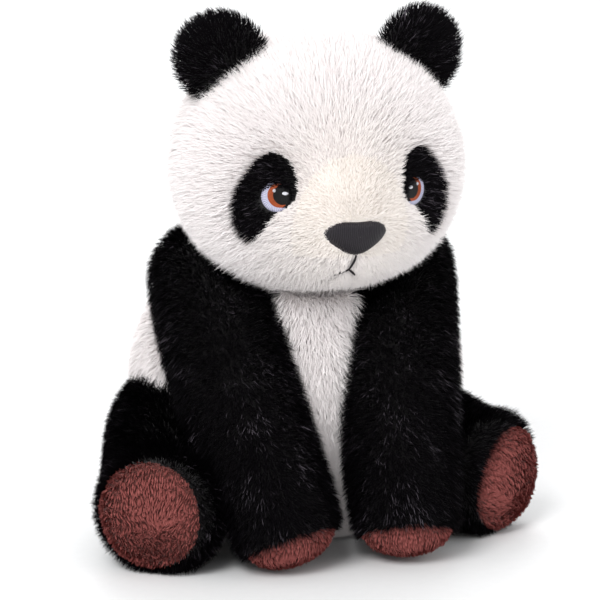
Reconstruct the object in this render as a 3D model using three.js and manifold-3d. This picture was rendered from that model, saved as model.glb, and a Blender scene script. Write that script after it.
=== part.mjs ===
// A seated plush panda, about 24 cm tall, as the sewn panels, filling and embroidery it is made of.
// Millimetres, +Z up, the panda faces -Y and its right side is -X.

import * as THREE from "three";
import { mergeVertices } from "three/addons/utils/BufferGeometryUtils.js";
import Module from "manifold-3d";

const wasm = await Module();
wasm.setup();

const FABRIC = 3;
const SEAM = 0.3;
const CLEARANCE = 1.5;
const LEG_CLEARANCE = 2.8;
const NECK_GAP = 0.6;
const FAR = 400;
const TO_MIDDLE = [3, -2, 0];
const FACET_TOLERANCE = 0.14;

const HEAD = { centre: new THREE.Vector3(0, -14, 171), width: 61, depth: 54, height: 54 };
const HEAD_BULGES = [
  { name: "muzzle", towards: [0, -0.92, -0.38], rise: 15, spread: 0.44 },
  { name: "right cheek", towards: [-0.74, -0.48, -0.48], rise: 3, spread: 0.55 },
  { name: "left cheek", towards: [0.74, -0.48, -0.48], rise: 3, spread: 0.55 },
  { name: "right eye hollow", towards: [-0.52, -0.85, -0.08], rise: -5, spread: 0.34 },
  { name: "left eye hollow", towards: [0.52, -0.85, -0.08], rise: -5, spread: 0.34 },
];

const NECK = { centre: new THREE.Vector3(0, -11, 117), radius: 15, stem: 10, foot: 94 };
const HEAD_ROOM = { width: 65, depth: 61, height: 55.5, nods: [-4, 8] };

const TORSO = {
  path: [[0, 18, 20], [0, 18, 55], [0, 15, 88], [0, 11, 120]],
  girths: [[66, 54], [74, 58], [70, 54], [54, 43]],
  caps: [0.45, 0.55],
  sides: 20,
  rings: 14,
};
const LINING_DETAIL = { sides: 12, rings: 10 };

const SIDES = {
  right: {
    arm: [[-43, 6, 115], [-42, -35, 72], [-33, -58, 36], [-28, -67, 16]],
    leg: [[-53, 12, 42], [-68, -20, 34], [-77, -42, 28], [-83, -56, 27]],
    sole_yaw: -32,
  },
  left: {
    arm: [[43, 6, 115], [32, -35, 72], [27, -58, 36], [26, -67, 16]],
    leg: [[45, 10, 33], [60, -11, 30], [72, -29, 27], [78, -40, 28]],
    sole_yaw: 38,
  },
};

const ARM = { girths: [[25, 25], [24, 24], [22, 21], [21, 18]], caps: [1, 0.6], sides: 14, rings: 14 };
const LEG = { girths: [[33, 33], [27, 28], [24, 25], [26, 26]], caps: [1, 0.3], sides: 16, rings: 14 };
const ARM_RAISE = [0, 15];
const SOLE_DIP = -0.06;

const EAR = { radius: 18.5, thickness: 5.5, centre: new THREE.Vector3(45, -22, 218), face: 12 };
const EAR_FLEX = [-15, 0, 15];

const EYE = { height: 163, spread: 31, radius: 6.4, iris: 4.6, pupil: 2.4, glint: 0.9, lift: 1.1 };
const PATCH = { spread: 34.5, height: 162, width: 12.5, depth: 20, length: 21.5, slant: -18, setback: 12 };
const TAIL = { centre: [0, 75, 32], radius: 13, core: 9 };
const CLOSING_STITCH = { bottom: 58, step: 4, count: 10, swing: 1.6, width: 0.7 };
const BRIDGE = { height: 148, width: 25, depth: 34, length: 33 };
const NOSE = { height: 147, half_width: 14, top: 6.5, bottom: -8.5, lift: 2.4 };

const MOUTH = { radius: 0.7, below_nose: 1.5, drop: 6, reach: 5.5, fall: 4 };

const FINISH = {
  white_pile: { color: 0xf2ebe4, roughness: 0.95 },
  black_pile: { color: 0x100d0f, roughness: 0.92 },
  cream_short_pile: { color: 0xf1e8d8, roughness: 0.9 },
  brown_short_pile: { color: 0x6f3a32, roughness: 0.9 },
  charcoal_thread: { color: 0x2b262d, roughness: 0.5 },
  eye_white_thread: { color: 0xcfcde2, roughness: 0.45 },
  iris_thread: { color: 0xb8582c, roughness: 0.45 },
  black_thread: { color: 0x0b0a0c, roughness: 0.4 },
  seam_thread: { color: 0xe9e4dc, roughness: 0.6 },
  fill: { color: 0xf4f4f0, roughness: 1 },
  pouch_cotton: { color: 0xd9d2c2, roughness: 0.9 },
};

const toy = new THREE.Group();

/* ---------- solids ---------- */

/** Turns a closed three.js geometry into a manifold solid. */
function solidOf(geometry) {
  const plain = geometry.clone();
  plain.deleteAttribute("normal");
  plain.deleteAttribute("uv");
  const welded = mergeVertices(plain, 1e-3);
  return new wasm.Manifold(new wasm.Mesh({
    numProp: 3,
    vertProperties: new Float32Array(welded.attributes.position.array),
    triVerts: new Uint32Array(welded.index.array),
  }));
}

/** How much wider a faceted round must be for its flat sides to clear the true round. */
function roomy(segments) {
  return 1 / Math.cos(Math.PI / segments);
}

/** The largest separate piece of a solid, without any slivers that a cut left beside it. */
function mainPiece(solid) {
  const pieces = solid.decompose();
  return pieces.reduce((best, piece) => (piece.volume() > best.volume() ? piece : best));
}

/** Adds a solid to the toy as a named mesh in the given finish. */
function addPart(name, solid, finish) {
  const mesh = mainPiece(solid.simplify(FACET_TOLERANCE)).getMesh();
  const geometry = new THREE.BufferGeometry();
  geometry.setAttribute("position", new THREE.BufferAttribute(new Float32Array(mesh.vertProperties), 3));
  geometry.setIndex(new THREE.BufferAttribute(new Uint32Array(mesh.triVerts), 1));
  const faceted = geometry.toNonIndexed();
  faceted.computeVertexNormals();
  const material = new THREE.MeshStandardMaterial({ ...FINISH[finish], metalness: 0 });
  material.name = finish;
  const part = new THREE.Mesh(faceted, material);
  part.name = name;
  toy.add(part);
}

/** Moves every vertex of a geometry to the place that a function gives for it. */
function reshape(geometry, place) {
  const corners = geometry.attributes.position;
  const corner = new THREE.Vector3();
  for (let i = 0; i < corners.count; i += 1) {
    corner.fromBufferAttribute(corners, i);
    const moved = place(corner);
    corners.setXYZ(i, moved.x, moved.y, moved.z);
  }
  return geometry;
}

/** A copy of a solid turned about an axis through a pivot, by degrees. */
function turned(solid, pivot, axis, degrees) {
  const matrix = new THREE.Matrix4().makeTranslation(pivot);
  matrix.multiply(new THREE.Matrix4().makeRotationAxis(axis, THREE.MathUtils.degToRad(degrees)));
  matrix.multiply(new THREE.Matrix4().makeTranslation(pivot.clone().negate()));
  return solid.transform(matrix.elements);
}

/** Everything that a solid passes through as it turns to each of the angles. */
function swept(solid, pivot, axis, angles) {
  return angles.map((degrees) => turned(solid, pivot, axis, degrees)).reduce((all, one) => all.add(one));
}

/** A ball stretched to three radii, turned about Y, then placed. */
function egg(centre, radii, slant = 0, segments = 16) {
  const ball = new THREE.SphereGeometry(1, segments, segments / 2);
  ball.scale(...radii);
  ball.rotateY(THREE.MathUtils.degToRad(slant));
  ball.translate(...centre);
  return solidOf(ball);
}

/** The half of space ahead of a point in a direction, as a large box. */
function ahead(point, direction) {
  const box = new THREE.BoxGeometry(2 * FAR, 2 * FAR, FAR);
  box.translate(0, 0, FAR / 2);
  const facing = new THREE.Quaternion().setFromUnitVectors(new THREE.Vector3(0, 0, 1), direction);
  box.applyQuaternion(facing);
  box.translate(point.x, point.y, point.z);
  return solidOf(box);
}

/** A round bar between two points. */
function bar(from, to, radius, sides = 16) {
  const along = to.clone().sub(from);
  const cylinder = new THREE.CylinderGeometry(radius, radius, along.length(), sides);
  const upright = new THREE.Vector3(0, 1, 0);
  cylinder.applyQuaternion(new THREE.Quaternion().setFromUnitVectors(upright, along.clone().normalize()));
  cylinder.translate((from.x + to.x) / 2, (from.y + to.y) / 2, (from.z + to.z) / 2);
  return solidOf(cylinder);
}

/** A thread laid along points, as one round strand. */
function thread(points, radius) {
  const section = new THREE.Shape().absarc(0, 0, radius, 0, 2 * Math.PI);
  const route = new THREE.CatmullRomCurve3(points);
  const strand = new THREE.ExtrudeGeometry(section, {
    extrudePath: route,
    steps: points.length * 2,
    curveSegments: 2,
  });
  return solidOf(strand);
}

/**
 * A stuffed tube with rounded ends: a ball whose rings are spread along a curve.
 * The girths give its half-width across and over at even steps, caps how far each end bulges.
 */
function stuffedTube(path, { girths, caps, sides, rings }, grow = 0) {
  const spine = new THREE.CatmullRomCurve3(path.map((point) => new THREE.Vector3(...point)));
  const lastGirth = girths.length - 1;
  const across = new THREE.SplineCurve(girths.map(([g], i) => new THREE.Vector2(i / lastGirth, g)));
  const over = new THREE.SplineCurve(girths.map(([, g], i) => new THREE.Vector2(i / lastGirth, g)));
  const capShare = 0.25;
  const ball = new THREE.SphereGeometry(1, sides, rings);
  return solidOf(reshape(ball, (corner) => {
    const share = Math.acos(THREE.MathUtils.clamp(corner.y, -1, 1)) / Math.PI;
    const along = THREE.MathUtils.clamp((share - capShare) / (1 - 2 * capShare), 0, 1);
    const tilt = Math.min(share, 1 - share, capShare) / capShare * (Math.PI / 2);
    const tangent = spine.getTangent(along);
    const sideways = new THREE.Vector3(1, 0, 0).addScaledVector(tangent, -tangent.x).normalize();
    const upright = new THREE.Vector3().crossVectors(tangent, sideways);
    const atStart = share < 0.5;
    const bulge = (atStart ? -caps[0] : caps[1]) * Math.cos(tilt) * (across.getPoint(along).y + grow);
    const spin = Math.atan2(corner.z, corner.x);
    return spine.getPoint(along)
      .addScaledVector(tangent, bulge)
      .addScaledVector(sideways, Math.cos(spin) * Math.sin(tilt) * (across.getPoint(along).y + grow))
      .addScaledVector(upright, Math.sin(spin) * Math.sin(tilt) * (over.getPoint(along).y + grow));
  }));
}

/** The same tube with fewer sides, shrunk to line it or to fill it. */
function liningTube(path, shape, shrink) {
  return stuffedTube(path, { ...shape, ...LINING_DETAIL }, -shrink);
}

/* ---------- head ---------- */

/** Distance from the head's centre to its fabric in a direction. */
function headReach(direction) {
  let reach = 1 / Math.hypot(
    direction.x / HEAD.width,
    direction.y / HEAD.depth,
    direction.z / HEAD.height,
  );
  for (const bulge of HEAD_BULGES) {
    const towards = new THREE.Vector3(...bulge.towards).normalize();
    reach += bulge.rise * Math.exp(-((direction.angleTo(towards) / bulge.spread) ** 2));
  }
  return reach;
}

/** The whole head, grown or shrunk by a distance. */
function headSolid(grow, sides = 26) {
  const ball = new THREE.SphereGeometry(1, sides, sides * 0.6);
  ball.rotateX(Math.PI / 2);
  return solidOf(reshape(ball, (corner) => {
    const direction = corner.clone().normalize();
    return HEAD.centre.clone().addScaledVector(direction, headReach(direction) + grow);
  }));
}

/** The point of the face straight behind (x, z), lifted off the fabric by a distance. */
function onFace(x, z, lift) {
  let depth = -HEAD.depth;
  const direction = new THREE.Vector3();
  for (let pass = 0; pass < 12; pass += 1) {
    direction.set(x, depth, z - HEAD.centre.z).normalize();
    const reach = headReach(direction) + lift;
    const flat = Math.hypot(x, z - HEAD.centre.z);
    depth = -Math.sqrt(Math.max(reach * reach - flat * flat, 1));
  }
  return new THREE.Vector3(x, HEAD.centre.y + depth, z);
}

/** The way the face looks at (x, z): straight out of the fabric. */
function faceNormal(x, z) {
  const step = 1.5;
  const sideways = onFace(x + step, z, 0).sub(onFace(x - step, z, 0));
  const upward = onFace(x, z + step, 0).sub(onFace(x, z - step, 0));
  return new THREE.Vector3().crossVectors(sideways, upward).normalize();
}

/** Cuts named panels out of a shell in turn and returns what is left of it. */
function cutPanels(shell, panels) {
  let rest = shell;
  for (const { name, finish, cutter, wider } of panels) {
    addPart(name, rest.intersect(cutter), finish);
    rest = rest.subtract(wider);
  }
  return rest;
}

/** A panel taken from an egg-shaped region. */
function eggPanel(name, finish, centre, radii, slant) {
  const wider = radii.map((radius) => radius + SEAM);
  return { name, finish, cutter: egg(centre, radii, slant), wider: egg(centre, wider, slant) };
}

/** A panel taken from everything ahead of a plane. */
function planePanel(name, finish, point, direction) {
  const back = point.clone().addScaledVector(direction, -SEAM);
  return { name, finish, cutter: ahead(point, direction), wider: ahead(back, direction) };
}

/** The head's sewn panels and its filling. */
function addHead(hollows) {
  const outer = headSolid(0).subtract(hollows.outer);
  const inner = headSolid(-FABRIC, 16).subtract(hollows.inner);
  const faceDepth = HEAD.centre.y - HEAD.depth;
  const bridge = [BRIDGE.width, BRIDGE.depth, BRIDGE.length];
  const widerBridge = bridge.map((radius) => radius + SEAM);
  const patches = [["right", -1], ["left", 1]].map(([side, way]) => eggPanel(
    `eye_patch_${side}`,
    "black_pile",
    [way * PATCH.spread, faceDepth + PATCH.setback, PATCH.height],
    [PATCH.width, PATCH.depth, PATCH.length],
    way * PATCH.slant,
  ));
  let rest = cutPanels(outer.subtract(inner), patches);
  const face = rest.intersect(egg([0, faceDepth, BRIDGE.height], bridge));
  rest = rest.subtract(egg([0, faceDepth, BRIDGE.height], widerBridge));
  const lip = new THREE.Vector3(0, 0, NOSE.height + NOSE.bottom);
  const up = new THREE.Vector3(0, 0, 1);
  const chin = cutPanels(face, [planePanel("muzzle_bridge", "cream_short_pile", lip, up)]);
  addPart("chin_panel", chin, "white_pile");
  const crown = new THREE.Vector3(0, 14, HEAD.centre.z);
  rest = cutPanels(rest, [
    planePanel("head_back", "white_pile", crown, new THREE.Vector3(0, 0.94, -0.34).normalize()),
  ]);
  const gussetWidth = 24;
  const strip = new THREE.BoxGeometry(2 * gussetWidth, FAR, FAR);
  const widerStrip = new THREE.BoxGeometry(2 * (gussetWidth + SEAM), FAR, FAR + 2 * SEAM);
  strip.translate(0, 0, HEAD.centre.z + FAR / 2);
  widerStrip.translate(0, 0, HEAD.centre.z + FAR / 2);
  rest = cutPanels(rest, [
    { name: "head_gusset", finish: "white_pile", cutter: solidOf(strip), wider: solidOf(widerStrip) },
  ]);
  const middle = new THREE.Vector3(SEAM / 2, 0, 0);
  rest = cutPanels(rest, [
    planePanel("head_side_left", "white_pile", middle, new THREE.Vector3(1, 0, 0)),
  ]);
  addPart("head_side_right", rest, "white_pile");
  addPart("head_stuffing", headSolid(-FABRIC - SEAM, 16).subtract(hollows.stuffing), "fill");
}

/** One eye of satin stitch: its white, iris, pupil and catch light, side by side on the patch. */
function addEye(side, way) {
  const x = way * EYE.spread;
  const middle = onFace(x, EYE.height, 0);
  const normal = faceNormal(x, EYE.height);
  const layer = headSolid(EYE.lift + SEAM).subtract(headSolid(SEAM));
  const column = (offset, radius) => {
    const centre = middle.clone().add(new THREE.Vector3(offset[0], 0, offset[1]));
    const reach = 3 * FABRIC;
    return bar(
      centre.clone().addScaledVector(normal, -reach),
      centre.clone().addScaledVector(normal, reach),
      radius,
      12,
    );
  };
  const irisShift = [-way * 1.2, 0.5];
  const glintShift = [irisShift[0] - EYE.pupil, irisShift[1] + 1.2];
  const glintHole = column(glintShift, EYE.glint + SEAM);
  const white = layer.intersect(column([0, 0], EYE.radius));
  const iris = layer.intersect(column(irisShift, EYE.iris)).subtract(column(irisShift, EYE.pupil + SEAM));
  const pupil = layer.intersect(column(irisShift, EYE.pupil));
  addPart(`eye_white_${side}`, white.subtract(column(irisShift, EYE.iris + SEAM)), "eye_white_thread");
  addPart(`eye_iris_${side}`, iris.subtract(glintHole), "iris_thread");
  addPart(`eye_pupil_${side}`, pupil.subtract(glintHole), "black_thread");
  addPart(`eye_glint_${side}`, layer.intersect(column(glintShift, EYE.glint)), "eye_white_thread");
}

/** The satin-stitched nose, a rounded triangle with its point down. */
function addNose() {
  const { half_width: side, top, bottom } = NOSE;
  const outline = new THREE.Shape();
  outline.moveTo(-side * 0.55, top);
  outline.quadraticCurveTo(0, top * 0.8, side * 0.55, top);
  outline.quadraticCurveTo(side, top, side, top * 0.35);
  outline.quadraticCurveTo(side * 0.9, bottom * 0.35, side * 0.25, bottom * 0.95);
  outline.quadraticCurveTo(0, bottom * 1.08, -side * 0.25, bottom * 0.95);
  outline.quadraticCurveTo(-side * 0.9, bottom * 0.35, -side, top * 0.35);
  outline.quadraticCurveTo(-side, top, -side * 0.55, top);
  const prism = new THREE.ExtrudeGeometry(outline, { depth: 60, bevelEnabled: false, curveSegments: 4 });
  prism.rotateX(Math.PI / 2);
  prism.translate(0, HEAD.centre.y - 40, NOSE.height);
  const layer = headSolid(NOSE.lift + SEAM).subtract(headSolid(SEAM));
  addPart("nose", layer.intersect(solidOf(prism)), "charcoal_thread");
}

/** The mouth: one upright stitch below the nose and a slanted one to each side. */
function addMouth() {
  const { radius, below_nose: gap, drop, reach, fall } = MOUTH;
  const lift = radius + SEAM + 0.1;
  const top = NOSE.height + NOSE.bottom - gap;
  const fork = top - drop;
  const upright = thread([top, (top + fork) / 2, fork].map((z) => onFace(0, z, lift)), radius);
  const slants = [-1, 1].map((way) => thread(
    [[0, fork], [way * reach * 0.45, fork - fall * 0.4], [way * reach, fork - fall]]
      .map(([x, z]) => onFace(x, z, lift)),
    radius,
  ));
  addPart("mouth_stitch", upright.add(slants[0]).add(slants[1]), "charcoal_thread");
}

/** Both halves of an ear, cut clear of the head at every angle that the ear bends to. */
function addEar(side, way) {
  const ball = new THREE.SphereGeometry(1, 18, 10);
  ball.scale(EAR.radius, EAR.thickness, EAR.radius);
  ball.rotateZ(THREE.MathUtils.degToRad(way * EAR.face));
  ball.translate(way * EAR.centre.x, EAR.centre.y, EAR.centre.z);
  const { pivot, axis } = earHinge(way);
  const clear = swept(headSolid(2 * SEAM, 26), pivot, axis, EAR_FLEX);
  const ear = solidOf(ball).subtract(clear);
  const facing = new THREE.Vector3(way * Math.sin(THREE.MathUtils.degToRad(EAR.face)), -1, 0).normalize();
  const seam = new THREE.Vector3(way * EAR.centre.x, EAR.centre.y, EAR.centre.z);
  const back = cutPanels(ear, [planePanel(`ear_lining_${side}`, "black_pile", seam, facing)]);
  addPart(`ear_back_${side}`, back, "black_pile");
}

/** Where an ear bends: a line across its root, lying along the head. */
function earHinge(way) {
  const centre = new THREE.Vector3(way * EAR.centre.x, EAR.centre.y, EAR.centre.z);
  const direction = centre.clone().sub(HEAD.centre).normalize();
  const pivot = HEAD.centre.clone().addScaledVector(direction, headReach(direction));
  const facing = new THREE.Vector3(0, 1, 0);
  const axis = new THREE.Vector3().crossVectors(facing, direction).normalize();
  return { pivot, axis };
}

/* ---------- neck and torso ---------- */

/** The neck core: a ball that the head nods on, on a stem that turns in the torso. */
function neckSolid(radius, stem, foot, segments) {
  const ball = egg(NECK.centre.toArray(), [radius, radius, radius], 0, segments);
  return ball.add(bar(NECK.centre.clone().setZ(foot), NECK.centre, stem, segments));
}

/** The room that the neck core turns in. */
function neckRoom(grow, segments) {
  const radius = NECK.radius * roomy(segments) + grow;
  return neckSolid(radius, NECK.stem * roomy(segments) + grow, NECK.foot - grow, segments);
}

/** The room that the head needs above the shoulders as it turns and nods. */
function headRoom(grow, segments) {
  const radii = [HEAD_ROOM.width, HEAD_ROOM.depth, HEAD_ROOM.height];
  const wider = radii.map((radius) => radius * roomy(segments) + grow);
  const room = egg(HEAD.centre.toArray(), wider, 0, segments);
  return swept(room, NECK.centre, new THREE.Vector3(1, 0, 0), HEAD_ROOM.nods);
}

/** The torso's sewn panels, its filling, its bean pouch and its closing stitch. */
function addTorso(hollows) {
  const floor = ahead(new THREE.Vector3(), new THREE.Vector3(0, 0, 1));
  const lining = ahead(new THREE.Vector3(0, 0, FABRIC), new THREE.Vector3(0, 0, 1));
  const packed = ahead(new THREE.Vector3(0, 0, FABRIC + SEAM), new THREE.Vector3(0, 0, 1));
  const outer = stuffedTube(TORSO.path, TORSO).intersect(floor).subtract(hollows.outer);
  const inner = liningTube(TORSO.path, TORSO, FABRIC).intersect(lining).subtract(hollows.inner);
  const filled = liningTube(TORSO.path, TORSO, FABRIC + SEAM).intersect(packed);
  const stuffing = filled.subtract(hollows.stuffing);
  const down = new THREE.Vector3(0, 0, -1);
  const backSeam = new THREE.Vector3(SEAM / 2, 0, 0);
  let rest = cutPanels(mainPiece(outer).subtract(inner), [
    planePanel("seat_panel", "white_pile", new THREE.Vector3(0, 0, 12), down),
    eggPanel("belly_panel", "white_pile", [0, -40, 70], [36, 40, 62], 0),
    planePanel("shoulder_yoke", "black_pile", new THREE.Vector3(0, 0, 110), down.clone().negate()),
    planePanel("torso_back_left", "white_pile", backSeam, new THREE.Vector3(1, 0, 0)),
  ]);
  addPart("torso_back_right", rest, "white_pile");
  const pouchTop = new THREE.Vector3(0, 0, 30);
  rest = cutPanels(mainPiece(stuffing), [planePanel("bean_pouch", "pouch_cotton", pouchTop, down)]);
  addPart("torso_stuffing", rest, "fill");
}

/** The short tail on the back of the seat. */
function addTail() {
  const torso = stuffedTube(TORSO.path, TORSO, 2 * SEAM);
  const tail = egg(TAIL.centre, [TAIL.radius, TAIL.radius, TAIL.radius]).subtract(torso);
  const core = egg(TAIL.centre, [TAIL.core, TAIL.core, TAIL.core], 0, 12);
  const room = egg(TAIL.centre, [1, 1, 1].map(() => TAIL.core + SEAM), 0, 12);
  const packed = stuffedTube(TORSO.path, TORSO, 3 * SEAM);
  addPart("tail_cover", tail.subtract(room), "white_pile");
  addPart("tail_stuffing", core.subtract(packed), "fill");
}

/** The zigzag of thread that closes the back seam by hand. */
function addClosingStitch() {
  const { bottom, step, count, swing, width } = CLOSING_STITCH;
  const turns = Array.from({ length: count + 1 }, (_, i) => [(i % 2 ? 1 : -1) * swing, bottom + i * step]);
  const rising = turns.map(([x, z]) => new THREE.Vector2(x - width, z));
  const falling = turns.map(([x, z]) => new THREE.Vector2(x + width, z)).reverse();
  const zigzag = new THREE.ExtrudeGeometry(new THREE.Shape([...rising, ...falling]), {
    depth: FAR,
    bevelEnabled: false,
  });
  zigzag.rotateX(Math.PI / 2);
  zigzag.translate(0, FAR + TORSO.path[1][1], 0);
  const layer = stuffedTube(TORSO.path, TORSO, 3 * SEAM).subtract(stuffedTube(TORSO.path, TORSO, SEAM));
  addPart("closing_stitch", layer.intersect(solidOf(zigzag)), "seam_thread");
}

/* ---------- limbs ---------- */

/** The room that a stuffed tube needs, from a coarser tube that clears it all round. */
function tubeRoom(path, shape, grow, segments) {
  const girths = shape.girths.map((pair) => pair.map((girth) => girth * roomy(segments)));
  return stuffedTube(path, { ...shape, girths, sides: segments, rings: segments }, grow);
}

/** The room that an arm needs as it is raised to each of the angles. */
function armRoom(side, grow, segments, angles) {
  const arm = tubeRoom(SIDES[side].arm, ARM, grow, segments);
  return swept(arm, new THREE.Vector3(...SIDES[side].arm[0]), new THREE.Vector3(-1, 0, 0), angles);
}

/** The room that a leg needs beside the torso; it only splays away from there. */
function legRoom(side, grow, segments) {
  return tubeRoom(SIDES[side].leg, LEG, grow, segments);
}

/** An arm: outer and inner sleeve, paw pad and filling. */
function addArm(side, way, obstacles) {
  const path = SIDES[side].arm;
  const outer = stuffedTube(path, ARM).subtract(obstacles.outer);
  const inner = liningTube(path, ARM, FABRIC).subtract(obstacles.inner);
  const tip = new THREE.Vector3(...path.at(-1));
  const wrist = new THREE.Vector3(...path.at(-2));
  const reach = tip.clone().sub(wrist).normalize();
  const pad = planePanel(`paw_pad_${side}`, "brown_short_pile", tip.addScaledVector(reach, 3), reach);
  const middle = new THREE.Vector3(...path[1]);
  const outwards = new THREE.Vector3(way, 0, 0);
  const rest = cutPanels(mainPiece(outer).subtract(inner), [
    pad,
    planePanel(`arm_outer_${side}`, "black_pile", middle, outwards),
  ]);
  addPart(`arm_inner_${side}`, rest, "black_pile");
  const filling = liningTube(path, ARM, FABRIC + SEAM).subtract(obstacles.stuffing);
  addPart(`arm_stuffing_${side}`, filling, "fill");
}

/** A leg: outer and inner panel, round foot sole and filling. */
function addLeg(side, way, obstacles) {
  const path = SIDES[side].leg;
  const outer = stuffedTube(path, LEG).subtract(obstacles.outer);
  const inner = liningTube(path, LEG, FABRIC).subtract(obstacles.inner);
  const yaw = THREE.MathUtils.degToRad(SIDES[side].sole_yaw);
  const facing = new THREE.Vector3(Math.sin(yaw), -Math.cos(yaw), SOLE_DIP).normalize();
  const sole = new THREE.Vector3(...path.at(-1)).addScaledVector(facing, 2);
  const hipPoint = new THREE.Vector3(...path[0]);
  const turnAxis = new THREE.Vector3(0, 0, -way);
  const across = new THREE.Vector3(...path[2]).sub(hipPoint).cross(turnAxis).normalize();
  const rest = cutPanels(mainPiece(outer).subtract(inner), [
    planePanel(`foot_sole_${side}`, "brown_short_pile", sole, facing),
    planePanel(`leg_outer_${side}`, "black_pile", hipPoint, across),
  ]);
  addPart(`leg_inner_${side}`, rest, "black_pile");
  const filling = liningTube(path, LEG, FABRIC + SEAM).subtract(obstacles.stuffing);
  addPart(`leg_stuffing_${side}`, filling, "fill");
}

/* ---------- the toy ---------- */

const BOTH = [["right", -1], ["left", 1]];

/** The room that the head needs beside an arm, whether the arm hangs or is raised. */
function headPastArm(side, grow, segments) {
  const room = headRoom(grow, segments + 4);
  return swept(room, new THREE.Vector3(...SIDES[side].arm[0]), new THREE.Vector3(1, 0, 0), ARM_RAISE);
}

/** The room that both arms need, swung to each of the angles. */
function armsRoom(grow, segments, angles) {
  return armRoom("right", grow, segments, angles).add(armRoom("left", grow, segments, angles));
}

/** Everything that the torso makes way for: arms, legs, head and neck. */
function torsoHollows(grow, segments) {
  const legs = legRoom("right", grow, segments).add(legRoom("left", grow, segments));
  return armsRoom(grow, segments, ARM_RAISE).add(legs)
    .add(headRoom(grow, segments + 4)).add(neckRoom(grow, segments));
}

/** The same obstacle grown for a sewn piece's outer face, its inner face and its filling. */
function layered(obstacle, gap) {
  const fine = 12;
  const coarse = 8;
  return {
    outer: obstacle(gap, fine),
    inner: obstacle(gap + FABRIC, coarse),
    stuffing: obstacle(gap + FABRIC + 2 * SEAM, coarse),
  };
}

addHead(layered(neckRoom, NECK_GAP));
for (const [side, way] of BOTH) {
  addEye(side, way);
  addEar(side, way);
  addArm(side, way, layered((grow, segments) => headPastArm(side, grow, segments), CLEARANCE));
  addLeg(side, way, layered((grow, segments) => armsRoom(grow, segments, [0]), LEG_CLEARANCE));
}
addNose();
addMouth();
addPart("neck_stuffing", neckSolid(NECK.radius, NECK.stem, NECK.foot, 16), "fill");
addTorso(layered(torsoHollows, CLEARANCE));
addTail();
addClosingStitch();

toy.position.set(...TO_MIDDLE);

export default toy;
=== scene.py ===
"""A seated plush panda: sewn skins with real pile, short-pile soles and embroidered features.

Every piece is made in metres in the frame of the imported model, from the boxes and
surfaces of its own panels.
"""

import logging
import math
from dataclasses import dataclass, field
from enum import Enum
from typing import Callable, Sequence

import bmesh
import bpy
import numpy as np
from mathutils import Matrix, Vector
from mathutils.bvhtree import BVHTree


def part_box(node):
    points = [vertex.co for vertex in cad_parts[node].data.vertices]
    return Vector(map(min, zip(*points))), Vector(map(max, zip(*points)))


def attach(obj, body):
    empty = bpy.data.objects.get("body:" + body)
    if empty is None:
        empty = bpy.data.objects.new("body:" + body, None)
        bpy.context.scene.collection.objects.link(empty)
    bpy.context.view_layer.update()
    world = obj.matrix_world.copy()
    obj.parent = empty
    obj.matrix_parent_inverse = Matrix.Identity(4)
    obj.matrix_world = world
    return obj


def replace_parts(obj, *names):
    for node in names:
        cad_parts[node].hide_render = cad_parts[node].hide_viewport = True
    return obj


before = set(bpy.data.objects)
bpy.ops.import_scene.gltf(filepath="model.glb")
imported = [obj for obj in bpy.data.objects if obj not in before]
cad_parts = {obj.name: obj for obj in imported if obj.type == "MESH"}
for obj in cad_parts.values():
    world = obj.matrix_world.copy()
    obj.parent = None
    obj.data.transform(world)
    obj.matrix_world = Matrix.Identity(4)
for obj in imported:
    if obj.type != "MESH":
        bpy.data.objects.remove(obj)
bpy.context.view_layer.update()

MM = 0.001
LOG = logging.getLogger("panda")

Array = np.ndarray
Object = bpy.types.Object
Material = bpy.types.Material
Colour = tuple[float, float, float, float]
Outline = tuple[tuple[float, float], ...]
Brush = Callable[[Array, Array], Array]

LOWEST = 0.2 * MM  # no skin and no strand comes nearer to the floor


# ---- shader maths


class Value:
    """A shader socket that adds Math nodes when it is used in an expression."""

    def __init__(self, graph: "Graph", socket: bpy.types.NodeSocket) -> None:
        """Wrap one output socket.

        Args:
            graph: The material graph that the socket belongs to.
            socket: The output socket.
        """
        self.graph = graph
        self.socket = socket

    def _math(self, operation: str, *others: "Value | float") -> "Value":
        """Add one Math node fed by this value and the others."""
        inputs = dict(enumerate((self, *others)))
        return self.graph.add("ShaderNodeMath", {"operation": operation}, inputs)

    def __add__(self, other: "Value | float") -> "Value":
        """Sum."""
        return self._math("ADD", other)

    __radd__ = __add__

    def __sub__(self, other: "Value | float") -> "Value":
        """Difference."""
        return self._math("SUBTRACT", other)

    def __mul__(self, other: "Value | float") -> "Value":
        """Product."""
        return self._math("MULTIPLY", other)

    __rmul__ = __mul__

    def wave(self) -> "Value":
        """Sine of the value."""
        return self._math("SINE")

    def power(self, exponent: float) -> "Value":
        """The value to a power."""
        return self._math("POWER", exponent)

    def clamped(self) -> "Value":
        """The value held between 0 and 1."""
        return self._math("MINIMUM", 1.0)._math("MAXIMUM", 0.0)


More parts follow.
